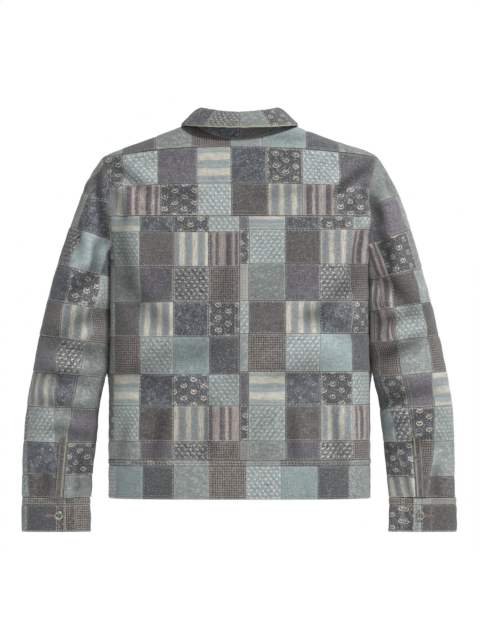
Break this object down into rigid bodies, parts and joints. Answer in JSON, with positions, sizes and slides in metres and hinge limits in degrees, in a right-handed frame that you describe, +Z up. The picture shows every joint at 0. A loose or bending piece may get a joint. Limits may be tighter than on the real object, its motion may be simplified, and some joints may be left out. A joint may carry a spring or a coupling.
{
  "type": "patched boro jacket",
  "caption": "Boxy patchwork work jacket with collar, yoke, waistband and buttoned cuffs, hollow and filled out as if worn.",
  "frame": {"origin": "in the neck opening, level with the neck seam at the centre back, midway between the shoulder tips, where the wearer's shoulders hold the jacket", "axes": "+Z up, -Y out of the jacket's front, +X towards the wearer's left sleeve"},
  "size_m": [0.7706, 0.2563, 0.7496],
  "materials": {
    "patchwork": "matt",
    "collar_cloth": "matt",
    "binding": "matt",
    "button_metal": "satin"
  },
  "bodies": {
    "root": {"back_yoke": "patchwork", "back_left": "patchwork", "back_right": "patchwork", "front_left": "patchwork", "front_right": "patchwork", "hem_band": "patchwork", "sleeve_upper_left": "patchwork", "sleeve_under_left": "patchwork", "cuff_left": "patchwork", "sleeve_vent_left": "binding", "collar_stand_left": "collar_cloth", "collar_leaf_left": "collar_cloth", "button_cuff_left": "button_metal", "sleeve_upper_right": "patchwork", "sleeve_under_right": "patchwork", "cuff_right": "patchwork", "sleeve_vent_right": "binding", "collar_stand_right": "collar_cloth", "collar_leaf_right": "collar_cloth", "button_cuff_right": "button_metal", "button_front_1": "button_metal", "button_front_2": "button_metal", "button_front_3": "button_metal", "button_front_4": "button_metal", "button_front_5": "button_metal", "button_band": "button_metal"}
  },
  "joints": []
}
